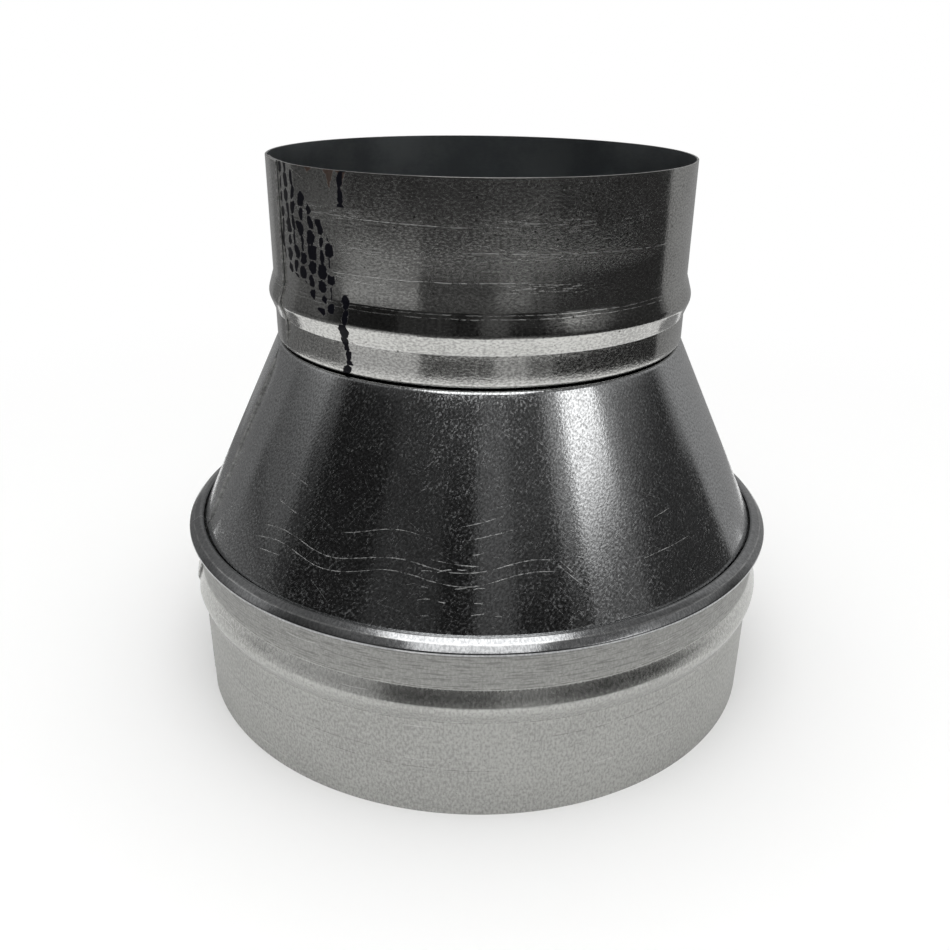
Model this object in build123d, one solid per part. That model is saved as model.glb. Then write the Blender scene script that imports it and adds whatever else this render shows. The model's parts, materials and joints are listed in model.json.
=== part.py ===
# Duct reducer: two straight sheet-metal collars joined by a cone, seamed together.
# Units are millimetres. Z points up along the duct's axis, and the origin is the
# centre of the large collar's open edge, which stands on Z = 0.
import math
import os

from build123d import *

# Sheet and the two duct sizes, measured over the outside of the plain collar walls
SHEET = 0.5
LARGE_DIAMETER = 150.0
SMALL_DIAMETER = 102.0

# Heights of the three pieces
LARGE_WALL_HEIGHT = 43.65     # open edge to the underside of the curl
CONE_HEIGHT = 47.85           # over the outer faces of its two flanges
SMALL_HEIGHT = 42.6           # underside of the in-turned foot to the rim

# Stop beads rolled outwards into both collars
BEAD_WIDTH = 9.0
BEAD_RISE = 1.5
LARGE_BEAD_DEPTH = 29.8       # open edge to the bead's crest
SMALL_BEAD_DEPTH = 30.8       # rim to the bead's crest

# Lower seam: the large collar's top edge is curled round the cone's hooked foot
HOOK_RADIUS = 0.75            # inside radius of the cone's hook
HOOK_SWEEP = 190.0
CURL_GAP = 0.1                # looseness between hook and curl
CURL_SWEEP = 250.0
CURL_ROOT_RADIUS = 0.35       # inside radius of the bend under the curl
FOOT_INSET = 0.9              # cone's middle line inside the collar's bore at the flange

# Upper seam: the cone's top flange is hemmed over the small collar's in-turned foot
FOOT_RADIUS = 0.75            # inside radius of the small collar's foot bend
FOOT_FLANGE = 3.55            # flat of the in-turned foot
FOLD_GAP = 0.3                # looseness between the folded layers
HEM_RETURN = 2.8              # flat leg of the hem above the foot
SHOULDER_OVERHANG = 0.15      # cone's middle line outside the small collar's

# Bends where the cone's wall meets its two flanges
CONE_BEND_RADIUS = 0.55

# Lengthwise lap of each rolled sheet: the outside stays flush, the inner end is set in
LAP_WIDTH = 12.0
SMALL_LAP_ANGLE = 208.0
CONE_LAP_ANGLE = 200.0
LARGE_LAP_ANGLE = 196.0

# Middle line of each wall, and the levels that the seams set
LARGE_MIDDLE = (LARGE_DIAMETER - SHEET) / 2
SMALL_MIDDLE = (SMALL_DIAMETER - SHEET) / 2
HOOK_MIDDLE = HOOK_RADIUS + SHEET / 2
CURL_MIDDLE = HOOK_RADIUS + SHEET + CURL_GAP + SHEET / 2
CURL_ROOT_MIDDLE = CURL_ROOT_RADIUS + SHEET / 2
CURL_CENTRE = LARGE_MIDDLE + CURL_ROOT_MIDDLE
CURL_LEVEL = LARGE_WALL_HEIGHT + SHEET / 2 + CURL_MIDDLE
HOOK_LEVEL = CURL_LEVEL - HOOK_MIDDLE
CONE_TOP_LEVEL = HOOK_LEVEL + CONE_HEIGHT - SHEET
FOOT_LEVEL = CONE_TOP_LEVEL + SHEET + FOLD_GAP
RIM_LEVEL = FOOT_LEVEL - SHEET / 2 + SMALL_HEIGHT
FOOT_MIDDLE = FOOT_RADIUS + SHEET / 2
HEM_MIDDLE = SHEET + FOLD_GAP
CONE_BEND_MIDDLE = CONE_BEND_RADIUS + SHEET / 2
CONE_FOOT_MIDDLE = LARGE_MIDDLE - SHEET / 2 - FOOT_INSET
CONE_TOP_MIDDLE = SMALL_MIDDLE + SHOULDER_OVERHANG


class Strip:
    """Middle line of a bent sheet, drawn in the radius and height plane.

    Each move is ("flat", length) or ("bend", radius, degrees), a bend being
    positive to the left. The outside of the duct lies to the left of the line.
    """

    def __init__(self, start, heading, moves):
        self.start = Vector(*start)
        self.heading = heading
        self.moves = moves

    def line(self, shift):
        """Edges of the line that runs a given distance to the left of the middle line."""
        heading = self.heading
        point = self.start + Vector(shift, 0).rotate(Axis.Z, heading + 90)
        edges = []
        for move in self.moves:
            forward = Vector(1, 0).rotate(Axis.Z, heading)
            if move[0] == "flat":
                edge = Line(point, point + forward * move[1])
            else:
                radius = move[1] - shift if move[2] > 0 else move[1] + shift
                edge = JernArc(point, forward, radius, move[2])
                heading += move[2]
            edges.append(edge)
            point = edge @ 1
        return edges

    def section(self, right, left):
        """Closed section between two distances from the middle line, stood upright."""
        right_line = self.line(right)
        left_line = self.line(left)
        near_end = Line(right_line[0] @ 0, left_line[0] @ 0)
        far_end = Line(right_line[-1] @ 1, left_line[-1] @ 1)
        return Plane.XZ * make_face([*right_line, far_end, *left_line, near_end])


def bead():
    """Bends of a stop bead: two root bends and a crest of one radius, rolled outwards."""
    quarter_width = BEAD_WIDTH / 4
    half_rise = BEAD_RISE / 2
    radius = (quarter_width**2 + half_rise**2) / BEAD_RISE
    slope = math.degrees(math.asin(quarter_width / radius))
    return [("bend", radius, slope), ("bend", radius, -2 * slope), ("bend", radius, slope)]


def rolled_sheet(strip, lapped, lap_angle, lap_radius):
    """Sheet rolled into a full turn, with the second layer of its lap on the inside."""
    turned = revolve(strip.section(-SHEET / 2, SHEET / 2), Axis.Z)
    lap_turn = math.degrees(LAP_WIDTH / lap_radius)
    inner_end = revolve(lapped.section(-SHEET * 3 / 2, 0), Axis.Z, lap_turn)
    return turned + Rot(0, 0, lap_angle - lap_turn) * inner_end


def small_collar():
    """Upper collar: rim, straight wall, bead, short wall and the foot turned inwards."""
    above_bead = SMALL_BEAD_DEPTH - BEAD_WIDTH / 2
    bead_end = SMALL_BEAD_DEPTH + BEAD_WIDTH / 2
    below_bead = SMALL_HEIGHT - SHEET / 2 - FOOT_MIDDLE - bead_end
    wall = [("flat", above_bead), *bead(), ("flat", below_bead)]
    foot = [("bend", FOOT_MIDDLE, -90), ("flat", FOOT_FLANGE)]
    rim = (SMALL_MIDDLE, RIM_LEVEL)
    sheet = Strip(rim, -90, wall + foot)
    return rolled_sheet(sheet, Strip(rim, -90, wall), SMALL_LAP_ANGLE, SMALL_MIDDLE)


def cone():
    """Tapered middle piece: hemmed top flange, sloping wall and hooked foot flange."""
    rise = CONE_TOP_LEVEL - HOOK_LEVEL
    spread = CONE_FOOT_MIDDLE - CONE_TOP_MIDDLE
    slope = math.degrees(math.atan2(rise, spread))
    bend_run = CONE_BEND_MIDDLE * math.tan(math.radians(slope / 2))
    wall_length = math.hypot(rise, spread) - 2 * bend_run
    hem_radius = SMALL_MIDDLE - FOOT_MIDDLE - FOOT_FLANGE
    hem = [("flat", HEM_RETURN), ("bend", HEM_MIDDLE, 180)]
    top_flange = [("flat", CONE_TOP_MIDDLE - bend_run - hem_radius), ("bend", CONE_BEND_MIDDLE, -slope)]
    wall = [("flat", wall_length)]
    foot_flange = [("bend", CONE_BEND_MIDDLE, slope), ("flat", CURL_CENTRE - CONE_FOOT_MIDDLE - bend_run)]
    hook = [("bend", HOOK_MIDDLE, HOOK_SWEEP)]
    hem_end = (hem_radius + HEM_RETURN, CONE_TOP_LEVEL + 2 * HEM_MIDDLE)
    sheet = Strip(hem_end, 180, hem + top_flange + wall + foot_flange + hook)
    along = Vector(1, 0).rotate(Axis.Z, -slope)
    wall_top = Vector(CONE_TOP_MIDDLE, CONE_TOP_LEVEL) + along * bend_run
    lapped = Strip((wall_top.X, wall_top.Y), -slope, wall)
    return rolled_sheet(sheet, lapped, CONE_LAP_ANGLE, (CONE_TOP_MIDDLE + CONE_FOOT_MIDDLE) / 2)


def large_collar():
    """Lower collar: the curl round the cone's foot, straight wall, bead and open edge."""
    root_level = LARGE_WALL_HEIGHT + SHEET / 2 - CURL_ROOT_MIDDLE
    above_bead = root_level - LARGE_BEAD_DEPTH - BEAD_WIDTH / 2
    below_bead = LARGE_BEAD_DEPTH - BEAD_WIDTH / 2
    curl_start = Vector(CURL_MIDDLE, 0).rotate(Axis.Z, CURL_SWEEP - 90)
    curl_end = (CURL_CENTRE + curl_start.X, CURL_LEVEL + curl_start.Y)
    curl = [("bend", CURL_MIDDLE, -CURL_SWEEP), ("bend", CURL_ROOT_MIDDLE, 90)]
    wall = [("flat", above_bead), *bead(), ("flat", below_bead)]
    sheet = Strip(curl_end, CURL_SWEEP - 180, curl + wall)
    lapped = Strip((LARGE_MIDDLE, root_level), -90, wall)
    return rolled_sheet(sheet, lapped, LARGE_LAP_ANGLE, LARGE_MIDDLE)


os.makedirs("parts", exist_ok=True)
export_step(small_collar(), "parts/small_collar.step")
export_step(cone(), "parts/cone.step")
export_step(large_collar(), "parts/large_collar.step")
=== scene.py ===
import json
import math

import bmesh
import bpy
from mathutils import Matrix, Vector, noise


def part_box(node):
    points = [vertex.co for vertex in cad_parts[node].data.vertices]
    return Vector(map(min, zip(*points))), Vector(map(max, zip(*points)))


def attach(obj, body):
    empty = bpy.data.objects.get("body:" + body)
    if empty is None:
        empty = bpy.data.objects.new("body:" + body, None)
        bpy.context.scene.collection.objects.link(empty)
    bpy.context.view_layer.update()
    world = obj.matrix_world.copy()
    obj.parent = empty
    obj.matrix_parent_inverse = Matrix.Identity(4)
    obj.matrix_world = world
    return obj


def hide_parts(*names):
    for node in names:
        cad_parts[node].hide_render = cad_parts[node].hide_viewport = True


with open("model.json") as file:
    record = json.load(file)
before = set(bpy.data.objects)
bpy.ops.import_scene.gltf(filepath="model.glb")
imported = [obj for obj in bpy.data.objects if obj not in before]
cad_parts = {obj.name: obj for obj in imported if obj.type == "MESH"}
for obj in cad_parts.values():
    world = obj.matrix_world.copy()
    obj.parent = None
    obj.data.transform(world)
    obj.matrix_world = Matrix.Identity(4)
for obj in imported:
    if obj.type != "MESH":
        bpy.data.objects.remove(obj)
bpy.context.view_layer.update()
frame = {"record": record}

# Sizes in metres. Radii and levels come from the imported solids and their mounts.
MM = 0.001
mounts = {mount["name"]: mount["dims"] for mount in frame["record"]["mounts"] if mount["dims"]}
small_low, small_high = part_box("small_collar")
large_low, large_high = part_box("large_collar")

SHEET = 0.5 * MM
SMALL_RADIUS = mounts["small_spigot"]["r_mm"] * MM
LARGE_RADIUS = mounts["large_spigot"]["r_mm"] * MM
SMALL_MIDDLE = SMALL_RADIUS - SHEET / 2
LARGE_MIDDLE = LARGE_RADIUS - SHEET / 2
SMALL_STRAIGHT = mounts["small_spigot"]["length_mm"] * MM
LARGE_STRAIGHT = mounts["large_spigot"]["length_mm"] * MM
RIM_LEVEL = small_high.z
FOOT_UNDERSIDE = small_low.z
CURL_TOP = large_high.z

# Stop beads, seams and laps of the three sheets
BEAD_WIDTH = 9.0 * MM
SMALL_BEAD = {"rise": 1.32 * MM, "first_half": 4.85 * MM, "crease": 0.8 * MM, "crest": 2.8 * MM}
LARGE_BEAD = {"rise": 1.5 * MM, "first_half": 4.15 * MM, "crease": 1.2 * MM, "crest": 3.0 * MM}
CURL_DEPTH = 3.45 * MM
CURL_ROOT = 0.6 * MM
CURL_UNDERSIDE = 1.1 * MM
CURL_CORNER = 0.45 * MM
CURL_OUTER_SLOPE = math.radians(48)
CURL_OUTER_FACE = 1.45 * MM
CURL_RIDGE = 0.8 * MM
CURL_TOP_SLOPE = math.radians(29)
CURL_TOP_FACE = 1.29 * MM
CURL_LIP = 0.6 * MM
CURL_LIP_TURN = math.radians(100)
CURL_GAP = 0.1 * MM
HOOK_MIDDLE = 0.4 * MM
HOOK_REACH = 0.25 * MM
HOOK_SWEEP = math.radians(170)
FOOT_INSET = 0.9 * MM
FOOT_MIDDLE = 1.0 * MM
FOOT_FLANGE = 3.55 * MM
FOLD_GAP = 0.3 * MM
HEM_MIDDLE = SHEET + FOLD_GAP
HEM_RETURN = 2.8 * MM
SHOULDER_OVERHANG = 0.15 * MM
CONE_BEND_MIDDLE = 0.8 * MM
LAP_WIDTH = 12.0 * MM
LAP_SET_IN = 9.0 * MM
LAP_SET_DEPTH = 0.56 * MM
LAP_LINE = 0.05 * MM
LAP_FADE = 3.0 * MM
LAP_MARGIN = 1.5 * MM
SMALL_LAP_ANGLE = math.radians(208)
CONE_LAP_ANGLE = math.radians(200)
LARGE_LAP_ANGLE = math.radians(196)
SAG_DEPTH = 0.16 * MM
EDGE_ROUNDING = 0.06 * MM

CURL_LEVEL = CURL_TOP - CURL_DEPTH
CURL_ROOT_LEVEL = CURL_LEVEL - CURL_ROOT
HOOK_LEVEL = CURL_LEVEL + SHEET + CURL_GAP
HEM_RADIUS = SMALL_MIDDLE - FOOT_MIDDLE - FOOT_FLANGE
CONE_FOOT_MIDDLE = LARGE_MIDDLE - SHEET / 2 - FOOT_INSET
CONE_TOP_MIDDLE = SMALL_MIDDLE + SHOULDER_OVERHANG
CONE_MEAN = (CONE_FOOT_MIDDLE + CONE_TOP_MIDDLE) / 2
CONE_TOP_LEVEL = FOOT_UNDERSIDE - FOLD_GAP - SHEET / 2
ABOVE_LARGE_BEAD = CURL_ROOT_LEVEL - LARGE_STRAIGHT - BEAD_WIDTH

# Fineness of the meshes
TURN_STEPS = 288
SET_IN_STEPS = 10
LAP_STEPS = 8
ROW = 2.4 * MM
BEND_STEP = math.radians(9)


# Sheets
def smooth_step(value):
    """Eases from 0 to 1."""
    value = min(max(value, 0.0), 1.0)
    return value * value * (3 - 2 * value)


def bead_moves(side, rise, first_half, crease, crest):
    """Moves of a stop bead that bulges to one side: flat slopes up to a round crest off its middle."""
    bends = crease + crest
    lift = bends - rise
    slopes, flats = [], []
    for half in (first_half, BEAD_WIDTH - first_half):
        slope = math.asin(bends / math.hypot(half, lift)) - math.atan2(lift, half)
        slopes.append(slope)
        flats.append((half - bends * math.sin(slope)) / math.cos(slope))
    return [("bend", crease, side * slopes[0]), ("flat", flats[0]), ("bend", crest, -side * sum(slopes)),
            ("flat", flats[1]), ("bend", crease, side * slopes[1])]


def run_of(moves):
    """Length along a section's moves."""
    return sum(move[1] if move[0] == "flat" else move[1] * abs(move[2]) for move in moves)


def draw_section(sheet, start, heading, moves):
    """Draws a bent sheet's middle line in the X and Z plane and notes the length along it."""
    along = sheet.verts.layers.float.new("sheet_along")
    tip = sheet.verts.new((start[0], 0, start[1]))
    for move in moves:
        forward = Vector((math.cos(heading), 0, math.sin(heading)))
        left = Vector((-math.sin(heading), 0, math.cos(heading)))
        if move[0] == "flat":
            rows = max(1, round(move[1] / ROW))
            for _ in range(rows):
                run = tip[along] + move[1] / rows
                tip = bmesh.ops.extrude_vert_indiv(sheet, verts=[tip])["verts"][0]
                bmesh.ops.translate(sheet, verts=[tip], vec=forward * (move[1] / rows))
                tip[along] = run
        else:
            side = math.copysign(1, move[2])
            centre = tip.co + left * side * move[1]
            steps = max(2, math.ceil(abs(move[2]) / BEND_STEP))
            turn = Matrix.Rotation(-move[2] / steps, 3, "Y")
            for _ in range(steps):
                run = tip[along] + move[1] * abs(move[2]) / steps
                tip = bmesh.ops.extrude_vert_indiv(sheet, verts=[tip])["verts"][0]
                bmesh.ops.rotate(sheet, verts=[tip], cent=centre, matrix=turn)
                tip[along] = run
            heading += move[2]


def last_edges(spun):
    """Edges of the last step of a spin."""
    return [item for item in spun["geom_last"] if isinstance(item, bmesh.types.BMEdge)]


def turn_of(vert):
    """Turn from the outer end of a rolled sheet to a vertex, before the lap is passed."""
    return -math.atan2(vert.co.y, vert.co.x) % math.tau


def set_in(verts, low, high, start_turn, full_turn):
    """Moves the inner end of a lap gently inwards, so that it passes under the outer end."""
    for vert in verts:
        ramp = smooth_step((turn_of(vert) - start_turn) / full_turn)
        ramp *= smooth_step((vert.co.z - low) / LAP_FADE) * smooth_step((high - vert.co.z) / LAP_FADE)
        scale = 1 - ramp * LAP_SET_DEPTH / math.hypot(vert.co.x, vert.co.y)
        vert.co.x *= scale
        vert.co.y *= scale


def sag(place, depth):
    """Inward sag of a hand-rolled sheet at a place, in metres."""
    around = Vector((place.x, place.y, 0)).normalized()
    slow = noise.noise(Vector((around.x * 1.7, around.y * 1.7, place.z * 14 + 3.1)))
    quick = noise.noise(Vector((around.x * 5.2, around.y * 5.2, place.z * 40 + 8.7)))
    return depth * (0.5 + 0.36 * slow + 0.14 * quick)


def roll_sheet(name, start, heading, moves, flat_radius, lap_angle, lap_low, lap_high, sag_depth):
    """Rolls a bent section into a full turn whose inner end passes under the outer end."""
    sheet = bmesh.new()
    draw_section(sheet, start, heading, moves)
    around = sheet.verts.layers.float.new("sheet_around")
    set_in_turn = LAP_SET_IN / flat_radius
    main_turn = math.tau - set_in_turn - LAP_LINE / flat_radius
    turned = bmesh.ops.spin(sheet, geom=sheet.edges[:], cent=(0, 0, 0), axis=(0, 0, -1),
                            angle=main_turn, steps=TURN_STEPS)
    first = set(sheet.verts)
    turned = bmesh.ops.spin(sheet, geom=last_edges(turned), cent=(0, 0, 0), axis=(0, 0, -1),
                            angle=set_in_turn, steps=SET_IN_STEPS)
    set_in([vert for vert in sheet.verts if vert not in first], lap_low, lap_high, main_turn, set_in_turn)
    before_lap = set(sheet.verts)
    under = [edge for edge in last_edges(turned)
             if all(lap_low + LAP_FADE <= vert.co.z <= lap_high - LAP_FADE for vert in edge.verts)]
    bmesh.ops.spin(sheet, geom=under, cent=(0, 0, 0), axis=(0, 0, -1),
                   angle=LAP_WIDTH / flat_radius, steps=LAP_STEPS)
    for vert in sheet.verts:
        past_lap = vert not in before_lap and turn_of(vert) < math.pi
        vert[around] = (turn_of(vert) + math.tau * past_lap) * flat_radius
    bmesh.ops.rotate(sheet, verts=sheet.verts, cent=(0, 0, 0), matrix=Matrix.Rotation(lap_angle, 3, "Z"))
    for vert in sheet.verts:
        scale = 1 - sag(vert.co, sag_depth) / math.hypot(vert.co.x, vert.co.y)
        vert.co.x *= scale
        vert.co.y *= scale
    bmesh.ops.recalc_face_normals(sheet, faces=sheet.faces)
    if sum(face.normal.xy.dot(face.calc_center_median().xy) for face in sheet.faces) < 0:
        bmesh.ops.reverse_faces(sheet, faces=sheet.faces)
    for face in sheet.faces:
        face.smooth = True
    mesh = bpy.data.meshes.new(name)
    sheet.to_mesh(mesh)
    sheet.free()
    piece = bpy.data.objects.new(name, mesh)
    bpy.context.scene.collection.objects.link(piece)
    wall = piece.modifiers.new("sheet_thickness", "SOLIDIFY")
    wall.thickness = SHEET
    wall.offset = 0
    wall.use_even_offset = True
    wall.material_offset = 1
    wall.material_offset_rim = 2
    edges = piece.modifiers.new("cut_edges", "BEVEL")
    edges.width = EDGE_ROUNDING
    edges.segments = 2
    edges.limit_method = "ANGLE"
    edges.angle_limit = math.radians(50)
    edges.harden_normals = True
    return piece


def make_small_collar():
    """Upper collar: rim, straight wall, bead, short wall and the foot turned inwards."""
    below_bead = (RIM_LEVEL - SMALL_STRAIGHT - BEAD_WIDTH) - (FOOT_UNDERSIDE + SHEET / 2 + FOOT_MIDDLE)
    moves = [("flat", SMALL_STRAIGHT), *bead_moves(1, **SMALL_BEAD), ("flat", below_bead),
             ("bend", FOOT_MIDDLE, -math.pi / 2), ("flat", FOOT_FLANGE)]
    return roll_sheet("small_collar_sheet", (SMALL_MIDDLE, RIM_LEVEL), -math.pi / 2, moves, SMALL_MIDDLE,
                      SMALL_LAP_ANGLE, FOOT_UNDERSIDE + LAP_MARGIN, RIM_LEVEL + LAP_FADE, SAG_DEPTH)


def make_cone():
    """Tapered middle piece: hemmed top flange, sloping wall and hooked foot flange."""
    rise = CONE_TOP_LEVEL - HOOK_LEVEL
    spread = CONE_FOOT_MIDDLE - CONE_TOP_MIDDLE
    slope = math.atan2(rise, spread)
    bend_run = CONE_BEND_MIDDLE * math.tan(slope / 2)
    moves = [("flat", HEM_RETURN), ("bend", HEM_MIDDLE, math.pi),
             ("flat", CONE_TOP_MIDDLE - bend_run - HEM_RADIUS), ("bend", CONE_BEND_MIDDLE, -slope),
             ("flat", math.hypot(rise, spread) - 2 * bend_run), ("bend", CONE_BEND_MIDDLE, slope),
             ("flat", LARGE_MIDDLE + HOOK_REACH - CONE_FOOT_MIDDLE - bend_run),
             ("bend", HOOK_MIDDLE, HOOK_SWEEP)]
    start = (HEM_RADIUS + HEM_RETURN, CONE_TOP_LEVEL + 2 * HEM_MIDDLE)
    return roll_sheet("cone_sheet", start, math.pi, moves, CONE_MEAN,
                      CONE_LAP_ANGLE, HOOK_LEVEL + LAP_MARGIN, CONE_TOP_LEVEL - LAP_MARGIN, SAG_DEPTH)


def make_large_collar():
    """Lower collar: open edge, straight wall, bead and the curl pressed over the cone's foot."""
    moves = [("flat", LARGE_STRAIGHT), *bead_moves(-1, **LARGE_BEAD), ("flat", ABOVE_LARGE_BEAD),
             ("bend", CURL_ROOT, -math.pi / 2), ("flat", CURL_UNDERSIDE),
             ("bend", CURL_CORNER, math.pi - CURL_OUTER_SLOPE), ("flat", CURL_OUTER_FACE),
             ("bend", CURL_RIDGE, CURL_OUTER_SLOPE - CURL_TOP_SLOPE), ("flat", CURL_TOP_FACE),
             ("bend", CURL_LIP, CURL_LIP_TURN)]
    return roll_sheet("large_collar_sheet", (LARGE_MIDDLE, large_low.z), math.pi / 2, moves, LARGE_MIDDLE,
                      LARGE_LAP_ANGLE, large_low.z - LAP_FADE, CURL_ROOT_LEVEL, SAG_DEPTH)


# Shader helpers
VECTOR = "NodeSocketVector"
FLOAT = "NodeSocketFloat"


def add(tree, kind, inputs=None, **settings):
    """Adds a shader node, whose inputs take values or other nodes' sockets."""
    node = tree.nodes.new("ShaderNode" + kind)
    for name, value in settings.items():
        setattr(node, name, value)
    for name, value in (inputs or {}).items():
        if isinstance(value, bpy.types.NodeSocket):
            tree.links.new(value, node.inputs[name])
        else:
            node.inputs[name].default_value = value
    return node


def calc(tree, operation, *values):
    """Result of a Math node."""
    return add(tree, "Math", dict(enumerate(values)), operation=operation).outputs[0]


def times(tree, first, second):
    """Product of two values."""
    return calc(tree, "MULTIPLY", first, second)


def vector_calc(tree, operation, *values):
    """Result of a Vector Math node."""
    return add(tree, "VectorMath", dict(enumerate(values)), operation=operation).outputs[0]


def ease(tree, value, low, high):
    """Smooth step from 0 at low to 1 at high."""
    return add(tree, "MapRange", {"Value": value, "From Min": low, "From Max": high},
               interpolation_type="SMOOTHSTEP").outputs[0]


def spread(tree, value, low, high):
    """Takes a value of 0 to 1 to the range from low to high."""
    return add(tree, "MapRange", {"Value": value, "To Min": low, "To Max": high}).outputs[0]


def tint(tree, factor, first, second):
    """Mix of two colours."""
    return add(tree, "Mix", {0: factor, 6: first, 7: second}, data_type="RGBA").outputs[2]


def flat_noise(tree, place, scale, detail):
    """Noise over the flat sheet."""
    return add(tree, "TexNoise", {"Vector": place, "Scale": scale, "Detail": detail, "Roughness": 0.6},
               noise_dimensions="2D").outputs[0]


def start_group(name, inputs, outputs):
    """New shader node group with its inner ends."""
    group = bpy.data.node_groups.new(name, "ShaderNodeTree")
    for label, kind in inputs:
        group.interface.new_socket(label, in_out="INPUT", socket_type=kind)
    for label in outputs:
        group.interface.new_socket(label, in_out="OUTPUT", socket_type=FLOAT)
    return group, group.nodes.new("NodeGroupInput").outputs, group.nodes.new("NodeGroupOutput").inputs


def finish_group(group, results, values):
    """Joins the worked-out values to the group's outputs."""
    for label, value in values.items():
        group.links.new(value, results[label])
    return group


# Effects that the finishes share
def make_grain():
    """Zinc grain: fine grain drawn out in one direction, sparkle that comes in patches, and slow clouds."""
    group, given, results = start_group(
        "zinc_grain", [("Flat", VECTOR), ("Size", FLOAT), ("Stretch", FLOAT), ("Turn", FLOAT)],
        ["Grain", "Sparkle", "Clouds"])
    turned = add(group, "VectorRotate", {"Vector": given["Flat"], "Angle": given["Turn"]},
                 rotation_type="Z_AXIS").outputs[0]
    fine = calc(group, "DIVIDE", 1.0, given["Size"])
    drawn = calc(group, "DIVIDE", fine, given["Stretch"])
    scale = add(group, "CombineXYZ", {"X": drawn, "Y": fine}).outputs[0]
    place = vector_calc(group, "MULTIPLY", turned, scale)
    grain = flat_noise(group, place, 1.0, 2.0)
    points = flat_noise(group, vector_calc(group, "ADD", place, (31.7, 17.3, 0)), 0.85, 3.0)
    patches = flat_noise(group, vector_calc(group, "ADD", place, (7.9, 53.1, 0)), 0.16, 2.0)
    strength = spread(group, ease(group, patches, 0.36, 0.64), 0.65, 1.0)
    sparkle = times(group, ease(group, points, 0.36, 0.68), strength)
    clouds = flat_noise(group, given["Flat"], 42.0, 4.0)
    return finish_group(group, results, {"Grain": grain, "Sparkle": sparkle, "Clouds": clouds})


def make_lines():
    """Fine lines that rolling leaves round the sheet."""
    group, given, results = start_group(
        "rolled_lines", [("Flat", VECTOR), ("Length", FLOAT), ("Spacing", FLOAT), ("Level", FLOAT)],
        ["Lines"])
    scale = add(group, "CombineXYZ", {"X": calc(group, "DIVIDE", 1.0, given["Length"]),
                                      "Y": calc(group, "DIVIDE", 1.0, given["Spacing"])}).outputs[0]
    streaks = flat_noise(group, vector_calc(group, "MULTIPLY", given["Flat"], scale), 1.0, 3.0)
    lines = ease(group, streaks, given["Level"], calc(group, "ADD", given["Level"], 0.06))
    return finish_group(group, results, {"Lines": lines})


def make_scratches():
    """Scattered hairline scratches, at most one in each cell of the sheet."""
    group, given, results = start_group(
        "scattered_scratches", [("Flat", VECTOR), ("Cell", FLOAT), ("Lean", FLOAT), ("Spread", FLOAT),
                                ("Width", FLOAT), ("Presence", FLOAT), ("Seed", FLOAT)], ["Scratch"])
    seed = add(group, "CombineXYZ", {"X": given["Seed"], "Y": times(group, given["Seed"], 1.7)}).outputs[0]
    place = vector_calc(group, "ADD", vector_calc(group, "DIVIDE", given["Flat"], add(
        group, "CombineXYZ", {"X": given["Cell"], "Y": given["Cell"], "Z": 1.0}).outputs[0]), seed)
    cell = vector_calc(group, "FLOOR", place)
    inside = vector_calc(group, "SUBTRACT", vector_calc(group, "FRACTION", place), (0.5, 0.5, 0))
    chance = add(group, "TexWhiteNoise", {"Vector": cell}, noise_dimensions="2D")
    rolls = add(group, "SeparateColor", {"Color": chance.outputs["Color"]}).outputs
    lean = calc(group, "MULTIPLY_ADD", calc(group, "SUBTRACT", rolls[0], 0.5), given["Spread"], given["Lean"])
    turned = add(group, "SeparateXYZ", {"Vector": add(
        group, "VectorRotate", {"Vector": inside, "Angle": times(group, lean, -1.0)},
        rotation_type="Z_AXIS").outputs[0]}).outputs
    bow = times(group, calc(group, "SUBTRACT", rolls[2], 0.5),
                times(group, calc(group, "POWER", calc(group, "ABSOLUTE", turned[0]), 2.0), 0.8))
    offset = times(group, calc(group, "SUBTRACT", rolls[1], 0.5), 0.7)
    across = calc(group, "ABSOLUTE", calc(group, "ADD", calc(group, "ADD", turned[1], offset), bow))
    half_width = calc(group, "DIVIDE", times(group, given["Width"], 0.5), given["Cell"])
    line = ease(group, across, times(group, half_width, 1.4), times(group, half_width, 0.5))
    reach = calc(group, "MULTIPLY_ADD", chance.outputs["Value"], 0.25, 0.12)
    length = ease(group, calc(group, "ABSOLUTE", turned[0]), calc(group, "ADD", reach, 0.1), reach)
    sides = add(group, "SeparateXYZ", {"Vector": vector_calc(group, "ABSOLUTE", inside)}).outputs
    border = ease(group, calc(group, "MAXIMUM", sides[0], sides[1]), 0.5, 0.42)
    present = calc(group, "LESS_THAN", add(group, "TexWhiteNoise", {"Vector": vector_calc(
        group, "ADD", cell, (57.0, 91.0, 0))}, noise_dimensions="2D").outputs["Value"], given["Presence"])
    scratch = times(group, times(group, line, length), times(group, border, present))
    return finish_group(group, results, {"Scratch": scratch})


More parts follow.
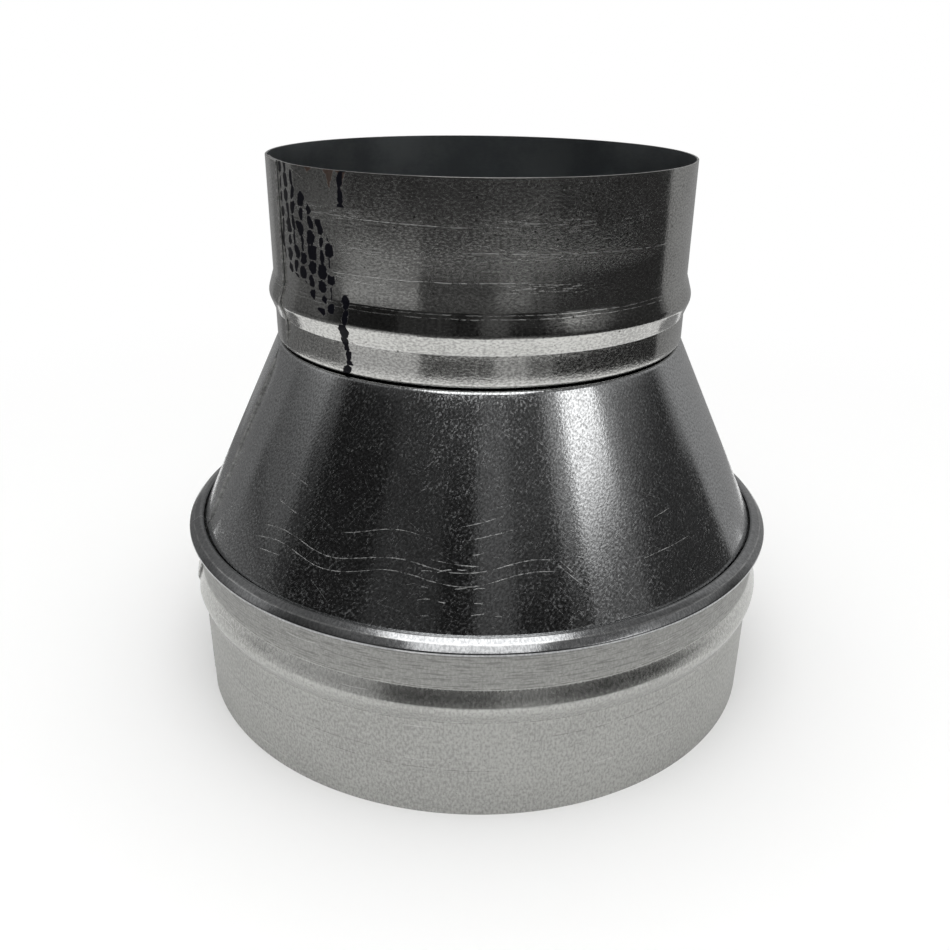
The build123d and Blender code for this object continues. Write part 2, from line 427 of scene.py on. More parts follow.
def make_long_scratch():
    """One long scratch or roller mark round the sheet, which may lean and wave."""
    group, given, results = start_group(
        "long_scratch", [("Flat", VECTOR), ("From", FLOAT), ("To", FLOAT), ("Level", FLOAT), ("Lean", FLOAT),
                         ("Wave", FLOAT), ("Crest", FLOAT), ("Width", FLOAT), ("Seed", FLOAT)], ["Scratch"])
    wave_length, fade, wobble = 27.7 * MM, 2.5 * MM, 0.35 * MM
    at = add(group, "SeparateXYZ", {"Vector": given["Flat"]}).outputs
    turn = times(group, calc(group, "SUBTRACT", at[0], given["Crest"]), math.tau / wave_length)
    wave = times(group, calc(group, "COSINE", turn), given["Wave"])
    past_start = calc(group, "SUBTRACT", at[0], given["From"])
    straight = calc(group, "MULTIPLY_ADD", past_start, given["Lean"], given["Level"])
    shake = add(group, "TexNoise", {"W": calc(group, "MULTIPLY_ADD", at[0], 110.0, given["Seed"]),
                                    "Detail": 2.0, "Scale": 1.0}, noise_dimensions="1D").outputs[0]
    shaken = calc(group, "MULTIPLY_ADD", calc(group, "SUBTRACT", shake, 0.5), wobble, straight)
    across = calc(group, "ABSOLUTE", calc(group, "SUBTRACT", at[1], calc(group, "SUBTRACT", shaken, wave)))
    line = ease(group, across, times(group, given["Width"], 0.8), times(group, given["Width"], 0.3))
    begin = ease(group, at[0], given["From"], calc(group, "ADD", given["From"], fade))
    end = ease(group, at[0], given["To"], calc(group, "SUBTRACT", given["To"], fade))
    press = add(group, "TexNoise", {"W": calc(group, "MULTIPLY_ADD", at[0], 330.0, given["Seed"]),
                                    "Detail": 3.0, "Scale": 1.0}, noise_dimensions="1D").outputs[0]
    scratch = times(group, times(group, line, spread(group, ease(group, press, 0.36, 0.6), 0.3, 1.0)),
                    times(group, begin, end))
    return finish_group(group, results, {"Scratch": scratch})


def make_specks():
    """Small round pits and specks of dirt."""
    group, given, results = start_group(
        "dark_specks", [("Flat", VECTOR), ("Cell", FLOAT), ("Size", FLOAT), ("Presence", FLOAT)], ["Specks"])
    scale = calc(group, "DIVIDE", 1.0, given["Cell"])
    cells = add(group, "TexVoronoi", {"Vector": given["Flat"], "Scale": scale}, voronoi_dimensions="2D")
    chance = add(group, "SeparateColor", {"Color": cells.outputs["Color"]}).outputs
    size = times(group, given["Size"], spread(group, chance[1], 0.35, 1.0))
    size = calc(group, "DIVIDE", size, given["Cell"])
    dot = ease(group, cells.outputs["Distance"], size, times(group, size, 0.5))
    specks = times(group, dot, calc(group, "LESS_THAN", chance[0], given["Presence"]))
    return finish_group(group, results, {"Specks": specks})


zinc_grain = make_grain()
rolled_lines = make_lines()
scattered_scratches = make_scratches()
long_scratch = make_long_scratch()
dark_specks = make_specks()


# Finishes
def read_sheet(tree):
    """Place on the flat sheet: the length round it, the length along its section, and both together."""
    around = add(tree, "Attribute", attribute_name="sheet_around").outputs["Fac"]
    along = add(tree, "Attribute", attribute_name="sheet_along").outputs["Fac"]
    return around, along, add(tree, "CombineXYZ", {"X": around, "Y": along}).outputs[0]


def around_at(front_degrees, lap_angle, flat_radius):
    """Length round the flat sheet at an angle from the front, counted to the right."""
    return (lap_angle - math.radians(270 + front_degrees)) % math.tau * flat_radius


def start_finish(name):
    """New material with its shader."""
    material = bpy.data.materials.new(name)
    material.use_nodes = True
    shader = material.node_tree.nodes["Principled BSDF"]
    shader.inputs["Metallic"].default_value = 1
    return material, material.node_tree, shader


def strongest(tree, *masks):
    """Largest of several masks."""
    result = masks[0]
    for mask in masks[1:]:
        result = calc(tree, "MAXIMUM", result, mask)
    return result


def draw_scratch(tree, flat, lap_angle, flat_radius, left, right, left_level, right_level, wave, width, seed):
    """Long scratch between two angles from the front, at given lengths along the section."""
    begin, end = around_at(right, lap_angle, flat_radius), around_at(left, lap_angle, flat_radius)
    values = {"Flat": flat, "From": begin, "To": end, "Level": right_level,
              "Lean": (left_level - right_level) / (end - begin), "Wave": wave,
              "Crest": around_at(-15, lap_angle, flat_radius), "Width": width, "Seed": seed}
    return add(tree, "Group", values, node_tree=long_scratch).outputs["Scratch"]


def draw_line_all_round(tree, flat, flat_radius, level, width, seed):
    """Line all round the sheet at one level: the mark a bead's roller leaves, and also a painted highlight
    along a bend.
    """
    values = {"Flat": flat, "From": -LAP_WIDTH, "To": math.tau * flat_radius + LAP_WIDTH, "Level": level,
              "Lean": 0.0, "Wave": 0.0, "Crest": 0.0, "Width": width, "Seed": seed}
    return add(tree, "Group", values, node_tree=long_scratch).outputs["Scratch"]


def band(tree, value, low, high, soft):
    """1 between two limits, with soft ends."""
    return times(tree, ease(tree, value, low - soft, low + soft), ease(tree, value, high + soft, high - soft))


def mill_ink(tree, flat, around, along):
    """Drops of marking ink in a slanting cluster and one chain, and the stains that run from the rim."""
    pitch, drop = 3.3 * MM, 3.1 * MM
    chain_at = around_at(-33.5, SMALL_LAP_ANGLE, SMALL_MIDDLE)
    cluster_at = around_at(-38, SMALL_LAP_ANGLE, SMALL_MIDDLE)
    ragged = calc(tree, "SUBTRACT", flat_noise(tree, flat, 620.0, 5.0), 0.5)
    wander = times(tree, calc(tree, "SUBTRACT", flat_noise(tree, flat, 130.0, 2.0), 0.5), 1.1)
    column_place = calc(tree, "ADD", calc(tree, "DIVIDE", calc(tree, "SUBTRACT", around, chain_at), pitch),
                        calc(tree, "ADD", wander, 0.5))
    column = calc(tree, "FLOOR", column_place)
    off_column = calc(tree, "SUBTRACT", calc(tree, "SUBTRACT", column_place, column), 0.5)
    column_dice = add(tree, "TexWhiteNoise", {"W": calc(tree, "ADD", column, 4.3)}, noise_dimensions="1D")
    column_chance = add(tree, "SeparateColor", {"Color": column_dice.outputs["Color"]}).outputs
    row_place = calc(tree, "ADD", calc(tree, "DIVIDE", along, drop), column_chance[0])
    row = calc(tree, "FLOOR", row_place)
    off_row = calc(tree, "SUBTRACT", calc(tree, "SUBTRACT", row_place, row), 0.5)
    dice = add(tree, "TexWhiteNoise", {"Vector": add(tree, "CombineXYZ", {"X": column, "Y": row}).outputs[0]},
               noise_dimensions="2D")
    chance = add(tree, "SeparateColor", {"Color": dice.outputs["Color"]}).outputs
    left = calc(tree, "SUBTRACT", around, cluster_at)
    thinner = ease(tree, left, 6 * MM, 16 * MM)
    aside = calc(tree, "MULTIPLY_ADD", calc(tree, "SUBTRACT", dice.outputs["Value"], 0.5), 0.3, off_column)
    across = calc(tree, "DIVIDE", aside, calc(tree, "SUBTRACT", spread(tree, chance[1], 0.22, 0.56),
                                              times(tree, thinner, 0.09)))
    down = calc(tree, "DIVIDE", off_row, spread(tree, chance[2], 0.36, 0.68))
    distance = calc(tree, "ADD", calc(tree, "POWER", calc(tree, "ABSOLUTE", across), 2.0),
                    calc(tree, "POWER", calc(tree, "ABSOLUTE", down), 2.6))
    blot = ease(tree, calc(tree, "MULTIPLY_ADD", ragged, 2.3, distance), 1.12, 0.82)
    below_edge = calc(tree, "SUBTRACT", along, calc(tree, "MULTIPLY_ADD", left, -0.96, 14.5 * MM))
    above_edge = calc(tree, "SUBTRACT", calc(tree, "MULTIPLY_ADD", left, -0.47, 28.5 * MM), along)
    slanting = times(tree, ease(tree, below_edge, -4 * MM, 3 * MM), ease(tree, above_edge, -4 * MM, 3 * MM))
    cluster = times(tree, slanting, band(tree, left, 0.0, 20 * MM, 2 * MM))
    in_chain = calc(tree, "COMPARE", column, 0.0, 0.5)
    chain = times(tree, in_chain, calc(tree, "SUBTRACT", 1.0, band(tree, along, 7 * MM, 25 * MM, 1 * MM)))
    present = calc(tree, "LESS_THAN", chance[0], calc(tree, "MAXIMUM", times(tree, cluster, 1.1), chain))
    drops = times(tree, blot, present)
    streaks = add(tree, "Group", {"Flat": flat, "Length": 5 * MM, "Spacing": 0.7 * MM, "Level": 0.48},
                  node_tree=rolled_lines).outputs["Lines"]
    smear = times(tree, times(tree, streaks, band(tree, along, 10 * MM, 17 * MM, 2.5 * MM)),
                  band(tree, left, 11 * MM, 20 * MM, 2 * MM))
    ink = calc(tree, "MAXIMUM", drops, times(tree, smear, 0.7))
    run = spread(tree, ease(tree, column_chance[1], 0.45, 0.9), 0.1 * MM, 4.5 * MM)
    taper = times(tree, calc(tree, "SUBTRACT", 1.0, calc(tree, "DIVIDE", along, run)), 0.46)
    ragged_side = calc(tree, "MULTIPLY_ADD", ragged, 0.5, calc(tree, "ABSOLUTE", off_column))
    inside = calc(tree, "SUBTRACT", taper, ragged_side)
    stain = times(tree, ease(tree, inside, -0.03, 0.05), band(tree, left, -6 * MM, 20 * MM, 1 * MM))
    return ink, stain


def make_small_collar_zinc():
    """Semi-gloss zinc with rubbed lines, roller marks at the bead, pits and a mill's smeared ink."""
    material, tree, shader = start_finish("zinc_small_collar")
    around, along, flat = read_sheet(tree)
    grain = add(tree, "Group", {"Flat": flat, "Size": 0.44 * MM, "Stretch": 1.7, "Turn": 0.0},
                node_tree=zinc_grain).outputs
    rubs = add(tree, "Group", {"Flat": flat, "Length": 4.5 * MM, "Spacing": 0.34 * MM, "Level": 0.56},
               node_tree=rolled_lines).outputs["Lines"]
    rub_bands = [band(tree, along, level - 1.3 * MM, level + 1.3 * MM, 1.5 * MM)
                 for level in (8.7 * MM, 15.2 * MM, 21.5 * MM)]
    rubs = times(tree, times(tree, rubs, strongest(tree, *rub_bands)), ease(tree, grain["Clouds"], 0.40, 0.6))
    hairs = add(tree, "Group", {"Flat": flat, "Cell": 15 * MM, "Lean": 0.1, "Spread": 1.2,
                                "Width": 0.09 * MM, "Presence": 0.4, "Seed": 8.0},
                node_tree=scattered_scratches).outputs["Scratch"]
    lines = [draw_scratch(tree, flat, SMALL_LAP_ANGLE, SMALL_MIDDLE, left, right, left_level * MM,
                          right_level * MM, 0.0, 0.13 * MM, seed)
             for left, right, left_level, right_level, seed in [
                 (-52, 0, 8.6, 9.6, 1.0), (-6, 62, 14.3, 15.6, 5.0), (-40, 12, 20.6, 20.2, 9.0)]]
    bead_end = SMALL_STRAIGHT + run_of(bead_moves(1, **SMALL_BEAD))
    marks = [draw_line_all_round(tree, flat, SMALL_MIDDLE, level, 0.15 * MM, seed)
             for level, seed in [(SMALL_STRAIGHT + 0.55 * MM, 2.0), (SMALL_STRAIGHT + 1.35 * MM, 7.0),
                                 (bead_end - 0.2 * MM, 12.0)]]
    scratches = strongest(tree, times(tree, rubs, 0.6), times(tree, hairs, 0.5), *lines, *marks)
    specks = add(tree, "Group", {"Flat": flat, "Cell": 4 * MM, "Size": 0.32 * MM, "Presence": 0.35},
                 node_tree=dark_specks).outputs["Specks"]
    ink, stain = mill_ink(tree, flat, around, along)
    mottle = calc(tree, "MULTIPLY_ADD", grain["Clouds"], 0.3, times(tree, grain["Grain"], 0.7))
    color = tint(tree, ease(tree, mottle, 0.36, 0.62), (0.35, 0.347, 0.337, 1), (0.60, 0.60, 0.58, 1))
    color = tint(tree, times(tree, scratches, 0.7), color, (0.76, 0.76, 0.75, 1))
    color = tint(tree, times(tree, specks, 0.85), color, (0.06, 0.055, 0.05, 1))
    color = tint(tree, times(tree, stain, 0.97), color, (0.022, 0.011, 0.007, 1))
    color = tint(tree, ink, color, (0.003, 0.003, 0.005, 1))
    covered = calc(tree, "MAXIMUM", ink, stain)
    tree.links.new(color, shader.inputs["Base Color"])
    tree.links.new(spread(tree, ease(tree, covered, 0.45, 0.9), 1.0, 0.0), shader.inputs["Metallic"])
    rough = calc(tree, "MULTIPLY_ADD", grain["Sparkle"], 0.10, spread(tree, grain["Clouds"], 0.05, 0.14))
    rough = calc(tree, "MULTIPLY_ADD", scratches, 0.25, rough)
    rough = calc(tree, "MULTIPLY_ADD", covered, 0.2, rough)
    shader.inputs["Specular IOR Level"].default_value = 0.06
    tree.links.new(rough, shader.inputs["Roughness"])
    height = calc(tree, "SUBTRACT", grain["Grain"], times(tree, scratches, 0.8))
    bump = add(tree, "Bump", {"Height": height, "Strength": 0.4, "Distance": 0.025 * MM})
    tree.links.new(bump.outputs[0], shader.inputs["Normal"])
    return material


def cone_level(height):
    """Length along the cone's section at a height above the open edge of the large collar."""
    rise = CONE_TOP_LEVEL - HOOK_LEVEL
    slant = math.hypot(rise, CONE_FOOT_MIDDLE - CONE_TOP_MIDDLE)
    wall_start = HEM_RETURN + HEM_MIDDLE * math.pi + CONE_TOP_MIDDLE - HEM_RADIUS
    return wall_start + (CONE_TOP_LEVEL - height) * slant / rise


def make_cone_zinc():
    """Glossy zinc with fine sparkle, slanting brush marks, long waving scratches and short dashes."""
    material, tree, shader = start_finish("zinc_cone")
    around, along, flat = read_sheet(tree)
    grain = add(tree, "Group", {"Flat": flat, "Size": 0.48 * MM, "Stretch": 1.3, "Turn": math.radians(-50)},
                node_tree=zinc_grain).outputs
    brushed = [add(tree, "Group", {"Flat": flat, "Cell": cell, "Lean": lean, "Spread": 0.7, "Width": width,
                                   "Presence": presence, "Seed": seed},
                   node_tree=scattered_scratches).outputs["Scratch"]
               for cell, lean, width, presence, seed in [
                   (6 * MM, math.radians(52), 0.10 * MM, 0.45, 2.0),
                   (9 * MM, math.radians(-42), 0.09 * MM, 0.4, 6.0)]]
    dashes = add(tree, "Group", {"Flat": flat, "Cell": 3.4 * MM, "Lean": 0.05, "Spread": 0.5,
                                 "Width": 0.15 * MM, "Presence": 0.6, "Seed": 11.0},
                 node_tree=scattered_scratches).outputs["Scratch"]
    front = around_at(-3, CONE_LAP_ANGLE, CONE_MEAN)
    at_front = times(tree, band(tree, around, front - 9 * MM, front + 9 * MM, 6 * MM),
                     band(tree, along, cone_level(62 * MM), cone_level(49 * MM), 2 * MM))
    dashes = times(tree, dashes, at_front)
    waves = [draw_scratch(tree, flat, CONE_LAP_ANGLE, CONE_MEAN, left, right, cone_level(left_height * MM),
                          cone_level(right_height * MM), wave * MM, 0.14 * MM, seed)
             for left, right, left_height, right_height, wave, seed in [
                 (-48, 15, 55.3, 57.0, 1.2, 4.0), (-47, 14.5, 58.0, 59.3, 1.1, 4.4),
                 (14, 19.6, 59.8, 54.0, 0.0, 6.1), (14.6, 19.0, 60.3, 55.6, 0.0, 6.7),
                 (-27, -7.5, 63.6, 64.2, 1.2, 7.0), (-4, 6, 66.4, 68.8, 0.0, 7.7),
                 (-3, 8, 63.8, 66.4, 0.0, 8.3), (-9, 2, 60.4, 59.4, 0.4, 9.0),
                 (-44, -36, 70.7, 69.2, 0.0, 10.0), (-45, -36.5, 64.6, 63.0, 0.0, 11.0),
                 (-46.5, -38.5, 53.0, 53.7, 0.5, 12.0), (31.5, 46, 56.6, 57.4, 0.0, 13.0),
                 (36, 43, 63.6, 64.4, 0.0, 14.0), (96, 150, 72.0, 69.0, 0.8, 15.0),
                 (-150, -100, 60.0, 62.0, 1.0, 16.0)]]
    scratches = strongest(tree, times(tree, strongest(tree, *brushed), 0.35), dashes, *waves)
    specks = add(tree, "Group", {"Flat": flat, "Cell": 7 * MM, "Size": 0.28 * MM, "Presence": 0.3},
                 node_tree=dark_specks).outputs["Specks"]
    mottle = calc(tree, "MULTIPLY_ADD", grain["Clouds"], 0.15, times(tree, grain["Grain"], 0.85))
    color = tint(tree, ease(tree, mottle, 0.38, 0.62), (0.39, 0.393, 0.395, 1), (0.70, 0.71, 0.715, 1))
    color = tint(tree, times(tree, scratches, 0.8), color, (0.82, 0.82, 0.81, 1))
    color = tint(tree, times(tree, specks, 0.8), color, (0.08, 0.075, 0.07, 1))
    tree.links.new(color, shader.inputs["Base Color"])
    rough = calc(tree, "MULTIPLY_ADD", grain["Sparkle"], 0.24, spread(tree, grain["Clouds"], 0.03, 0.07))
    rough = calc(tree, "MULTIPLY_ADD", scratches, 0.38, rough)
    tree.links.new(rough, shader.inputs["Roughness"])
    height = calc(tree, "SUBTRACT", grain["Grain"], times(tree, scratches, 0.5))
    bump = add(tree, "Bump", {"Height": height, "Strength": 0.5, "Distance": 0.03 * MM})
    tree.links.new(bump.outputs[0], shader.inputs["Normal"])
    return material


def make_large_collar_zinc():
    """Dull zinc with upright grain, dark rolling lines and specks, burnished on the curl and the bead, with
    painted shade between the bead and the curl, a painted shadow line under the curl and a painted highlight
    along the curl's top bend.
    """
    material, tree, shader = start_finish("zinc_large_collar")
    _, along, flat = read_sheet(tree)
    grain = add(tree, "Group", {"Flat": flat, "Size": 0.55 * MM, "Stretch": 1.7, "Turn": math.radians(90)},
                node_tree=zinc_grain).outputs
    bead_end = LARGE_STRAIGHT + run_of(bead_moves(-1, **LARGE_BEAD))
    curl_start = bead_end + ABOVE_LARGE_BEAD + CURL_ROOT * math.pi / 2
    curl = ease(tree, along, curl_start - 0.3 * MM, curl_start + 0.9 * MM)
    bead = band(tree, along, LARGE_STRAIGHT, bead_end, 1.0 * MM)
    # Band between the bead and the curl: it strengthens the rolling lines and darkens the colour as painted
    # shade.
    shoulder = band(tree, along, bead_end, curl_start, 0.8 * MM)
    # Painted shadow: a thin dark band on the wall just under the curl, where the curl casts shade.
    painted_shadow_under_curl = band(tree, along, curl_start - 1.9 * MM, curl_start, 0.3 * MM)
    lines = add(tree, "Group", {"Flat": flat, "Length": 6 * MM, "Spacing": 0.36 * MM, "Level": 0.54},
                node_tree=rolled_lines).outputs["Lines"]
    lines = times(tree, lines, calc(tree, "MULTIPLY_ADD", shoulder, 0.60, 0.10))
    hairlines = [draw_scratch(tree, flat, LARGE_LAP_ANGLE, LARGE_MIDDLE, left, right, left_level * MM,
                              right_level * MM, 0.0, 0.14 * MM, seed)
                 for left, right, left_level, right_level, seed in [
                     (-78, -4, 22.0, 21.0, 3.0), (-62, -16, 15.5, 16.5, 5.0), (-30, 4, 13.0, 12.4, 7.0),
                     (12, 58, 20.8, 21.6, 9.0), (120, 200, 14.0, 15.0, 11.0)]]
    marks = [draw_line_all_round(tree, flat, LARGE_MIDDLE, level, 0.2 * MM, seed)
             for level, seed in [(LARGE_STRAIGHT + 0.2 * MM, 2.0), (bead_end + 0.1 * MM, 6.0)]]
    # Real dark hairlines and roller marks, joined with the painted shadow under the curl.
    dark_lines_and_shadow = strongest(tree, times(tree, strongest(tree, *hairlines), 0.6),
                           times(tree, strongest(tree, *marks), 0.8), times(tree, painted_shadow_under_curl, 0.45))
    dashes = add(tree, "Group", {"Flat": flat, "Cell": 14 * MM, "Lean": 0.0, "Spread": 0.08,
                                 "Width": 0.12 * MM, "Presence": 0.35, "Seed": 5.0},
                 node_tree=scattered_scratches).outputs["Scratch"]
    # Painted highlight: a thin bright line along the bend between the curl's outer and top faces, standing in
    # for light glinting there.
    ridge_level = (curl_start + CURL_UNDERSIDE + CURL_CORNER * (math.pi - CURL_OUTER_SLOPE)
                   + CURL_OUTER_FACE + 0.2 * MM)
    painted_ridge_highlight = draw_line_all_round(tree, flat, LARGE_MIDDLE, ridge_level, 0.3 * MM, 15.0)
    specks = add(tree, "Group", {"Flat": flat, "Cell": 1.5 * MM, "Size": 0.2 * MM, "Presence": 0.3},
                 node_tree=dark_specks).outputs["Specks"]
    burnish = calc(tree, "MAXIMUM", curl, times(tree, bead, 0.8))
    mottle = calc(tree, "MULTIPLY_ADD", grain["Clouds"], 0.25, times(tree, grain["Grain"], 0.75))
    color = tint(tree, ease(tree, mottle, 0.34, 0.66), (0.345, 0.345, 0.332, 1), (0.485, 0.487, 0.468, 1))
    # Painted shade: the band between the bead and the curl is pulled towards dark grey, standing in for the
    # shade under the curl.
    color = tint(tree, times(tree, shoulder, 0.45), color, (0.24, 0.24, 0.232, 1))
    bright = tint(tree, ease(tree, mottle, 0.36, 0.64), (0.31, 0.315, 0.32, 1), (0.45, 0.455, 0.46, 1))
    color = tint(tree, curl, color, bright)
    color = tint(tree, lines, color, (0.20, 0.20, 0.193, 1))
    # Dark colour for hairline scratches and roller marks, and for the painted shadow line under the curl.
    color = tint(tree, dark_lines_and_shadow, color, (0.14, 0.135, 0.13, 1))
    # Bright colour for scratched dashes and for the painted highlight line on the curl's bend.
    color = tint(tree, times(tree, strongest(tree, dashes, painted_ridge_highlight), 0.5), color, (0.78, 0.78, 0.77, 1))
    color = tint(tree, times(tree, specks, 0.5), color, (0.15, 0.145, 0.14, 1))
    tree.links.new(color, shader.inputs["Base Color"])
    rough = calc(tree, "MULTIPLY_ADD", grain["Clouds"], 0.10, spread(tree, burnish, 0.40, 0.09))
    rough = calc(tree, "MULTIPLY_ADD", grain["Sparkle"], spread(tree, burnish, 0.12, 0.05), rough)
    tree.links.new(rough, shader.inputs["Roughness"])
    height = calc(tree, "SUBTRACT", grain["Grain"], times(tree, strongest(tree, dark_lines_and_shadow, dashes), 0.6))
    bump = add(tree, "Bump", {"Height": height, "Strength": 0.4, "Distance": 0.02 * MM})
    tree.links.new(bump.outputs[0], shader.inputs["Normal"])
    return material


def make_shaded_inside_zinc():
    """Dull zinc of the inner faces, in a darker bluish grey than the outer zinc as painted shade inside the
    pieces.
    """
    material, tree, shader = start_finish("zinc_inside_shaded")
    flat = read_sheet(tree)[2]
    grain = add(tree, "Group", {"Flat": flat, "Size": 0.6 * MM, "Stretch": 3.0, "Turn": 0.0},
                node_tree=zinc_grain).outputs
    mottle = calc(tree, "MULTIPLY_ADD", grain["Clouds"], 0.8, times(tree, grain["Grain"], 0.2))
    # Painted shade: darker, bluish grey colours for the inner faces than for the same zinc outside.
    tree.links.new(tint(tree, ease(tree, mottle, 0.36, 0.64), (0.29, 0.31, 0.325, 1), (0.37, 0.39, 0.40, 1)),
                   shader.inputs["Base Color"])
    tree.links.new(spread(tree, mottle, 0.28, 0.40), shader.inputs["Roughness"])
    return material


def make_cut_edge():
    """Bare steel at the sheared edges."""
    material, tree, shader = start_finish("bare_cut_edge")
    place = add(tree, "TexCoord").outputs["Object"]
    grain = add(tree, "TexNoise", {"Vector": place, "Scale": 1400.0, "Detail": 2.0}).outputs[0]
    tree.links.new(tint(tree, ease(tree, grain, 0.35, 0.65), (0.38, 0.38, 0.375, 1), (0.66, 0.66, 0.65, 1)),
                   shader.inputs["Base Color"])
    tree.links.new(spread(tree, grain, 0.40, 0.65), shader.inputs["Roughness"])
    return material


small_collar = make_small_collar()
cone = make_cone()
large_collar = make_large_collar()
# Inner faces take the darker zinc that carries painted shade.
inside = make_shaded_inside_zinc()
cut_edge = make_cut_edge()
for piece, finish, node, slot in [(small_collar, make_small_collar_zinc(), "small_collar", "bright_zinc"),
                                  (cone, make_cone_zinc(), "cone", "bright_zinc"),
                                  (large_collar, make_large_collar_zinc(), "large_collar", "dull_zinc")]:
    for layer in (finish, inside, cut_edge):
        piece.data.materials.append(layer)
    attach(piece, "root")
    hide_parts(node)


# Floor, cards and lights
def seen_directly(tree):
    """1 for rays from the camera or from glossy and clear surfaces, 0 for the rest."""
    path = add(tree, "LightPath").outputs
    return strongest(tree, path["Is Camera Ray"], path["Is Glossy Ray"], path["Is Transmission Ray"])


def add_card(name, from_degrees, to_degrees, radius, top, low_tone, high_tone, fade_from, fade_to):
    """Curved grey card that only the metal sees, with one fade by height. The front is at 0 degrees."""
    card = bmesh.new()
    start, turn = math.radians(from_degrees), to_degrees - from_degrees
    foot = card.verts.new((radius * math.sin(start), -radius * math.cos(start), 0))
    side = bmesh.ops.extrude_vert_indiv(card, verts=[foot])
    bmesh.ops.translate(card, verts=side["verts"], vec=(0, 0, top))
    bmesh.ops.spin(card, geom=side["edges"], cent=(0, 0, 0), axis=(0, 0, 1),
                   angle=math.radians(turn), steps=max(2, round(turn / CARD_STEP)))
    mesh = bpy.data.meshes.new(name)
    card.to_mesh(mesh)
    card.free()
    material = bpy.data.materials.new(name)
    material.use_nodes = True
    tree = material.node_tree
    tree.nodes.remove(tree.nodes["Principled BSDF"])
    height = add(tree, "SeparateXYZ", {"Vector": add(tree, "TexCoord").outputs["Object"]}).outputs[2]
    tone = spread(tree, ease(tree, height, fade_from, fade_to), low_tone, high_tone)
    glow = add(tree, "Emission", {"Strength": tone})
    tree.links.new(glow.outputs[0], tree.nodes["Material Output"].inputs["Surface"])
    mesh.materials.append(material)
    panel = bpy.data.objects.new(name, mesh)
    bpy.context.scene.collection.objects.link(panel)
    panel.visible_camera = False
    panel.visible_diffuse = False
    panel.visible_transmission = False
    panel.visible_shadow = False


# Tones of the cards from dark to light, and their distances and tops in metres
CARD_STEP = 3
BLACK, CHARCOAL, SLATE, ASH = 0.015, 0.04, 0.07, 0.12
GREY, SILVER, PALE, WHITE, GLOW = 0.18, 0.30, 0.42, 0.60, 1.70
ROOM, REAR, LOW, MIDWAY, FAR = 2.4, 0.20, 0.30, 0.60, 2.0
LOW_TOP, MIDWAY_TOP, FAR_TOP = 0.062, 0.098, 1.7
for card_values in [
        ("room_wall", -180, 180, ROOM, 7.0, GREY, GREY, 0, 1),
        ("rear_left_low", -180, -112, REAR, 0.03, GREY, GREY, 0, 1),
        ("rear_right_low", 112, 180, REAR, 0.03, SILVER, SILVER, 0, 1),
        ("rear_left", -180, -135, LOW, 0.45, SILVER, GREY, 0, 0.45),
        ("side_left", -135, -105, LOW, 0.36, GREY, SILVER, 0.1, 0.36),
        ("side_right", 105, 180, LOW, 0.45, SILVER, PALE, 0, 0.45),
        ("low_left", -105, -70, LOW, LOW_TOP, GREY, ASH, 0.02, LOW_TOP),
        ("low_pale_left", -70, -29, LOW, LOW_TOP, WHITE, SILVER, 0.02, LOW_TOP),
        ("low_front", -29, 7, LOW, LOW_TOP, ASH, SLATE, 0.03, LOW_TOP),
        ("low_pale_front", 7, 24, LOW, LOW_TOP, PALE, ASH, 0.02, LOW_TOP),
        ("low_grey_right", 24, 37, LOW, LOW_TOP, GREY, SLATE, 0.02, 0.04),
        ("low_right", 37, 105, LOW, LOW_TOP, CHARCOAL, CHARCOAL, 0, 1),
        ("midway_left", -125, -70, MIDWAY, MIDWAY_TOP, ASH, SLATE, 0, MIDWAY_TOP),
        ("midway_pale_left", -70, -29, MIDWAY, MIDWAY_TOP, GREY, CHARCOAL, 0, 0.06),
        ("midway_front", -29, 37, MIDWAY, MIDWAY_TOP, SLATE, CHARCOAL, 0.04, MIDWAY_TOP),
        ("midway_right", 37, 115, MIDWAY, MIDWAY_TOP, CHARCOAL, CHARCOAL, 0, 1),
        ("far_left", -130, -84, FAR, FAR_TOP, ASH, PALE, 0.3, 1.1),
        ("far_left_edge", -84, -76, FAR, FAR_TOP, CHARCOAL, ASH, 0.5, 0.8),
        ("far_left_flag", -76, -42, FAR, FAR_TOP, BLACK, ASH, 0.9, FAR_TOP),
        ("far_front_left", -42, -14, FAR, FAR_TOP, CHARCOAL, SLATE, 1.1, FAR_TOP),
        ("far_front_flag", -14, 0, FAR, FAR_TOP, BLACK, SLATE, 0.9, 1.4),
        ("far_front_slim", 0, 15, FAR, FAR_TOP, SLATE, ASH, 0.6, 1.0),
        ("far_right_flag", 15, 36, FAR, FAR_TOP, BLACK, SLATE, 0.6, 1.0),
        ("far_strip_left_edge", 36, 45, FAR, FAR_TOP, CHARCOAL, SILVER, 0.6, 0.95),
        ("far_strip", 45, 66, FAR, 1.35, ASH, GLOW, 0.56, 0.98),
        ("far_strip_right_edge", 67, 74, FAR, FAR_TOP, CHARCOAL, PALE, 0.35, 1.0),
        ("far_right", 74, 108, FAR, FAR_TOP, CHARCOAL, SILVER, 0.4, 1.0)]:
    add_card(*card_values)

FLOOR_RADIUS = 2.5
FLOOR_FADE_FROM, FLOOR_FADE_TO = 0.11, 0.40


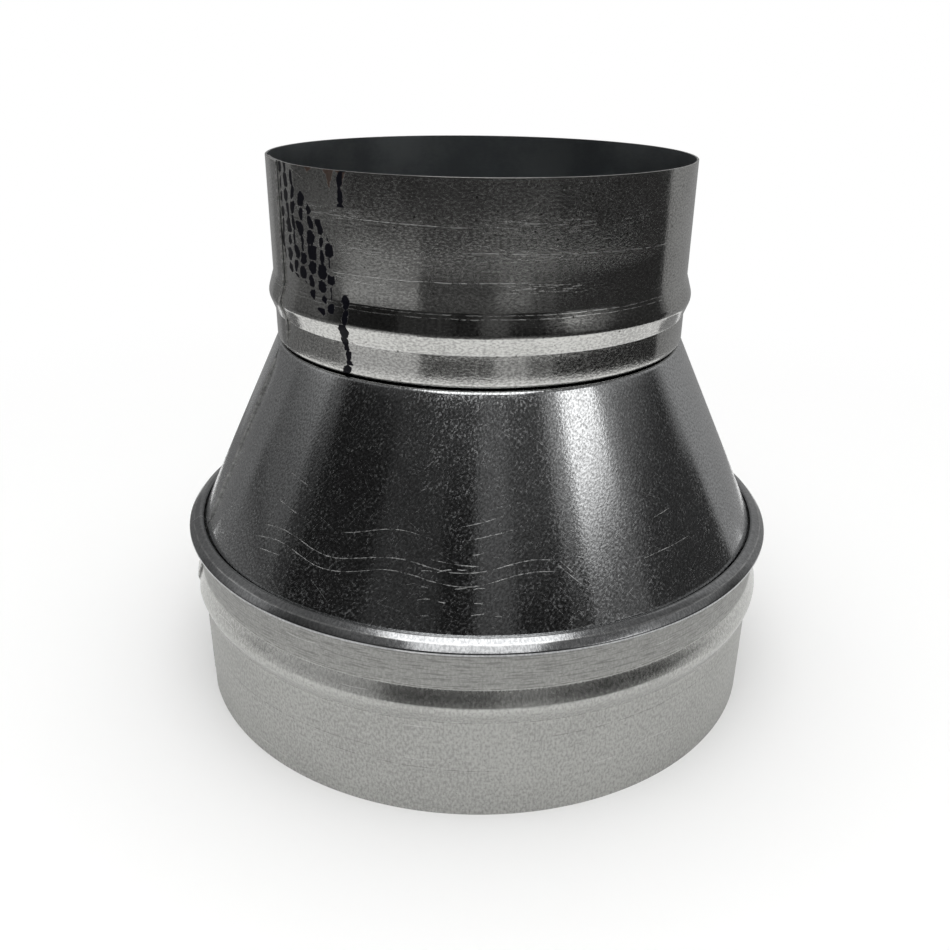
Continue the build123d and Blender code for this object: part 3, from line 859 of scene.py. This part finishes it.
def make_floor():
    """Pale floor that fades into the white background away from the object and is clear from below."""
    disc = bmesh.new()
    bmesh.ops.create_circle(disc, cap_ends=True, cap_tris=True, segments=96, radius=FLOOR_RADIUS)
    mesh = bpy.data.meshes.new("floor")
    disc.to_mesh(mesh)
    disc.free()
    floor = bpy.data.objects.new("floor", mesh)
    bpy.context.scene.collection.objects.link(floor)
    material = bpy.data.materials.new("pale_floor")
    material.use_nodes = True
    tree = material.node_tree
    shader = tree.nodes["Principled BSDF"]
    shader.inputs["Base Color"].default_value = (0.93, 0.93, 0.925, 1)
    shader.inputs["Roughness"].default_value = 0.9
    shader.inputs["Specular IOR Level"].default_value = 0.1
    glow = add(tree, "Emission", {"Strength": 1.0})
    place = add(tree, "TexCoord").outputs["Object"]
    away = add(tree, "VectorMath", {0: place}, operation="LENGTH").outputs["Value"]
    factor = times(tree, ease(tree, away, FLOOR_FADE_FROM, FLOOR_FADE_TO), seen_directly(tree))
    mix = add(tree, "MixShader", {"Fac": factor, 1: shader.outputs[0], 2: glow.outputs[0]})
    below = add(tree, "NewGeometry").outputs["Backfacing"]
    nothing = add(tree, "BsdfTransparent").outputs[0]
    clear = add(tree, "MixShader", {"Fac": below, 1: mix.outputs[0], 2: nothing})
    tree.links.new(clear.outputs[0], tree.nodes["Material Output"].inputs["Surface"])
    mesh.materials.append(material)


def light_world():
    """White surroundings for what the camera and the metal see, a little softer for what lights the floor."""
    world = bpy.data.worlds.new("studio")
    bpy.context.scene.world = world
    world.use_nodes = True
    tree = world.node_tree
    background = tree.nodes["Background"]
    background.inputs["Color"].default_value = (1, 1, 1, 1)
    tree.links.new(spread(tree, seen_directly(tree), 0.93, 1.0), background.inputs["Strength"])


def add_softbox(name, place, target, width, depth, power):
    """Soft rectangular light that points at a target."""
    lamp = bpy.data.lights.new(name, "AREA")
    lamp.shape = "RECTANGLE"
    lamp.size = width
    lamp.size_y = depth
    lamp.energy = power
    box = bpy.data.objects.new(name, lamp)
    box.location = place
    box.rotation_euler = (Vector(target) - Vector(place)).to_track_quat("-Z", "Y").to_euler()
    box.visible_camera = False
    bpy.context.scene.collection.objects.link(box)


make_floor()
light_world()
SOFTBOX_PLACE, SOFTBOX_TARGET = (0, -0.281, 0.609), (0, -0.076, 0.045)
SOFTBOX_WIDTH, SOFTBOX_DEPTH, SOFTBOX_POWER = 0.46, 0.585, 1.35
add_softbox("softbox_front", SOFTBOX_PLACE, SOFTBOX_TARGET, SOFTBOX_WIDTH, SOFTBOX_DEPTH, SOFTBOX_POWER)


# Camera at the photograph's place
CAMERA_PLACE = (0, -0.23783, 0.15646)
CAMERA_LENS = 35.763
CAMERA_YAW, CAMERA_PITCH, CAMERA_ROLL = math.radians(-0.159), math.radians(24.042), math.radians(0.741)


def add_camera():
    """Camera fitted to the photograph's perspective."""
    lens = bpy.data.cameras.new("camera")
    lens.sensor_width = 36
    lens.lens = CAMERA_LENS
    lens.clip_start = 0.01
    yaw, pitch, roll = CAMERA_YAW, CAMERA_PITCH, CAMERA_ROLL
    ahead = Vector((math.sin(yaw) * math.cos(pitch), math.cos(yaw) * math.cos(pitch), -math.sin(pitch)))
    right = ahead.cross(Vector((0, 0, 1))).normalized()
    up = right.cross(ahead)
    right_turned = right * math.cos(roll) + up * math.sin(roll)
    up_turned = up * math.cos(roll) - right * math.sin(roll)
    camera = bpy.data.objects.new("camera", lens)
    turn = Matrix((right_turned, up_turned, -ahead)).transposed().to_4x4()
    camera.matrix_world = Matrix.Translation(CAMERA_PLACE) @ turn
    bpy.context.scene.collection.objects.link(camera)
    bpy.context.scene.camera = camera


add_camera()
bpy.context.scene.view_settings.view_transform = "Standard"
